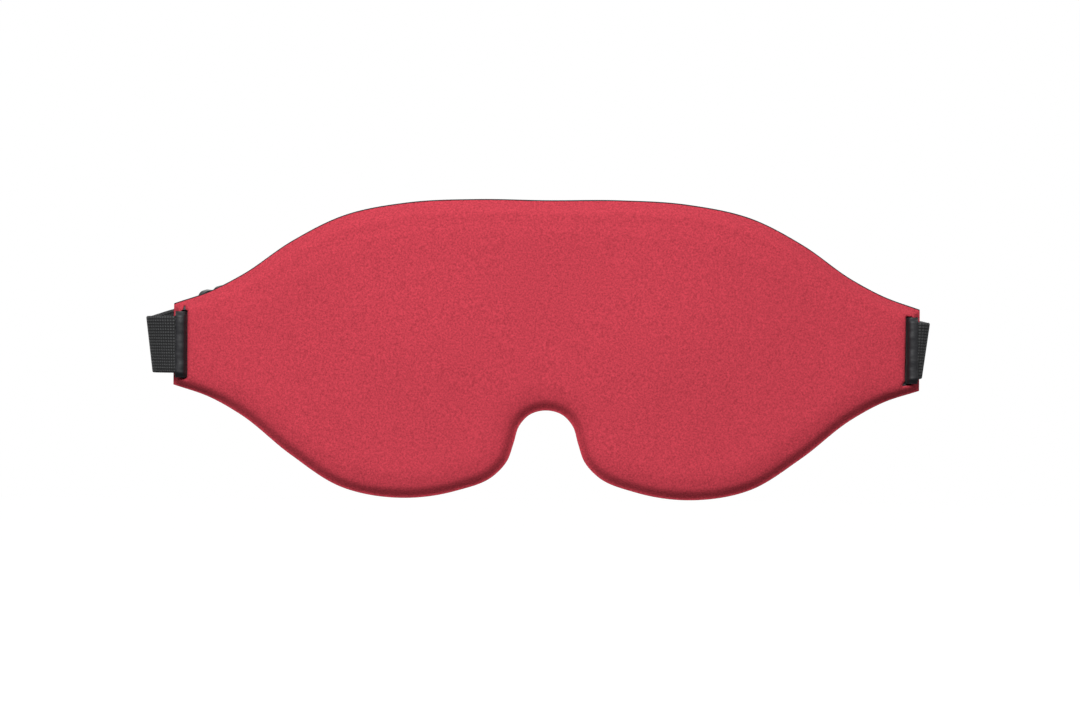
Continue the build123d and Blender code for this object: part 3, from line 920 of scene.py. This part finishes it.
# ---- Which body each piece moves with, and which CAD nodes it stands for ----
for obj, node in (
    (cover, "front_cover"), (foam, "foam_core"), (lining, "back_lining"),
    (keepers[-1], "strap_keeper_left"), (keepers[1], "strap_keeper_right"),
):
    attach(obj, "root")
    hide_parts(node)
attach(run_web, "strap")
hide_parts("strap_run")
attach(sewn_thread, "strap")
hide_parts("sewn_end_stitches")
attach(tail_thread, "slider")
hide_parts("tail_stitches")


def blended(obj, a, b, start, end, *nodes):
    """A piece baked where it lies, attached to no body, which stands for nodes; a, b, start and end are not
    used.
    """
    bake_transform(obj)
    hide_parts(*nodes)


blended(loop_webs[-1], "root", "strap", (0, 14.5, 0), (0, 29.5, 0), "strap_loop_left")
blended(loop_webs[1], "root", "strap", (0, 14.5, 0), (0, 29.5, 0), "strap_loop_right")
blended(leg_web, "root", "strap", (0, 15.0, 0), (0, 27.5, 0), "strap_return_leg", "strap_sewn_end")
blended(tail_web, "root", "strap", (0, 15.0, 0), (0, 23.0, 0), "strap_tail")
blended(wrap_web, "strap", "slider", slider_point(TAIL_JOIN - 0.5, -BAR_INSET)[0],
        slider_point(6.6, -BAR_INSET)[0], "slider_tail_wrap")

# ---- Floor, light and camera ----
FLOOR_DROP = 0.16  # metres below the mask's middle
FLOOR_COLOUR = (0.12, 0.12, 0.12)
FLOOR_GLOW = 0.96  # what the camera alone sees on top of that
SKY_FROM, SKY_TO = -0.1, 1.0  # heights between which the sky brightens, for light on the mask
SKY_DARK, SKY_BRIGHT = 0.01, 0.45
bpy.ops.mesh.primitive_plane_add(size=8, location=(0, 0, -FLOOR_DROP))
floor = bpy.context.active_object
floor.name = "floor"
floor_material = bpy.data.materials.new("pale_floor")
floor_material.use_nodes = True
tree = floor_material.node_tree
tree.nodes.clear()
surface = tree.nodes.new("ShaderNodeOutputMaterial")
diffuse = tree.nodes.new("ShaderNodeBsdfDiffuse")
diffuse.inputs["Color"].default_value = (*FLOOR_COLOUR, 1)
glow = tree.nodes.new("ShaderNodeEmission")
path = tree.nodes.new("ShaderNodeLightPath")
total = tree.nodes.new("ShaderNodeMath")
total.operation = "MULTIPLY"
total.inputs[1].default_value = FLOOR_GLOW
add = tree.nodes.new("ShaderNodeAddShader")
tree.links.new(path.outputs["Is Camera Ray"], total.inputs[0])
tree.links.new(total.outputs[0], glow.inputs["Strength"])
tree.links.new(diffuse.outputs[0], add.inputs[0])
tree.links.new(glow.outputs[0], add.inputs[1])
# The floor is one-sided, so that the mask can be seen from underneath.
one_sided = tree.nodes.new("ShaderNodeMixShader")
tree.links.new(tree.nodes.new("ShaderNodeNewGeometry").outputs["Backfacing"], one_sided.inputs[0])
tree.links.new(add.outputs[0], one_sided.inputs[1])
tree.links.new(tree.nodes.new("ShaderNodeBsdfTransparent").outputs[0], one_sided.inputs[2])
tree.links.new(one_sided.outputs[0], surface.inputs["Surface"])
floor.data.materials.append(floor_material)

world = bpy.data.worlds.new("studio")
bpy.context.scene.world = world
world.use_nodes = True
tree = world.node_tree
# The camera, gloss and transmission see plain white; the mask is lit by a sky that brightens upwards.
background = tree.nodes["Background"]
background.inputs["Color"].default_value = (1, 1, 1, 1)
path = tree.nodes.new("ShaderNodeLightPath")
seen = tree.nodes.new("ShaderNodeMath")
seen.operation = "MAXIMUM"
either = tree.nodes.new("ShaderNodeMath")
either.operation = "MAXIMUM"
sky = tree.nodes.new("ShaderNodeSeparateXYZ")
tree.links.new(tree.nodes.new("ShaderNodeTexCoord").outputs["Generated"], sky.inputs[0])
height = tree.nodes.new("ShaderNodeMapRange")
height.interpolation_type = "SMOOTHSTEP"
height.inputs["From Min"].default_value = SKY_FROM
height.inputs["From Max"].default_value = SKY_TO
height.inputs["To Min"].default_value = SKY_DARK
height.inputs["To Max"].default_value = SKY_BRIGHT
tree.links.new(sky.outputs["Z"], height.inputs["Value"])
level = tree.nodes.new("ShaderNodeMapRange")
level.inputs["To Max"].default_value = 1.0
tree.links.new(height.outputs["Result"], level.inputs["To Min"])
tree.links.new(path.outputs["Is Camera Ray"], seen.inputs[0])
tree.links.new(path.outputs["Is Glossy Ray"], seen.inputs[1])
tree.links.new(seen.outputs[0], either.inputs[0])
tree.links.new(path.outputs["Is Transmission Ray"], either.inputs[1])
tree.links.new(either.outputs[0], level.inputs["Value"])
tree.links.new(level.outputs["Result"], background.inputs["Strength"])


def lamp(name, place, size, watts):
    """A soft square lamp aimed at the mask."""
    light = bpy.data.lights.new(name, "AREA")
    light.size = size
    light.energy = watts
    obj = bpy.data.objects.new(name, light)
    bpy.context.scene.collection.objects.link(obj)
    obj.location = place
    obj.rotation_euler = (-Vector(place)).to_track_quat("-Z", "Y").to_euler()


lamp("key", (-0.35, -1.45, 0.8), 0.8, 26.8)
lamp("fill", (0.7, -1.4, 0.55), 0.9, 3)
lamp("rear", (0.3, 1.3, 0.9), 0.9, 18)

MM_PER_PIXEL = 0.3159  # the photograph's scale at the ears
IMAGE_WIDTH = 1080
SENSOR_WIDTH = 36
EAR_PLANE = 0.009  # metres behind y = 0, as the camera's place is in metres
CAMERA_X, CAMERA_BACK, CAMERA_Z = -0.00205, 1.6, -0.00395
CAMERA_ROLL = -0.5  # degrees
camera_data = bpy.data.cameras.new("camera")
camera = bpy.data.objects.new("camera", camera_data)
bpy.context.scene.collection.objects.link(camera)
camera.location = (CAMERA_X, -CAMERA_BACK, CAMERA_Z)
camera.rotation_euler = (math.radians(90), math.radians(CAMERA_ROLL), 0)
camera_data.sensor_width = SENSOR_WIDTH
camera_data.lens = SENSOR_WIDTH * (CAMERA_BACK + EAR_PLANE) / (IMAGE_WIDTH * MM_PER_PIXEL * MM)
bpy.context.scene.camera = camera
bpy.context.scene.view_settings.view_transform = "Standard"
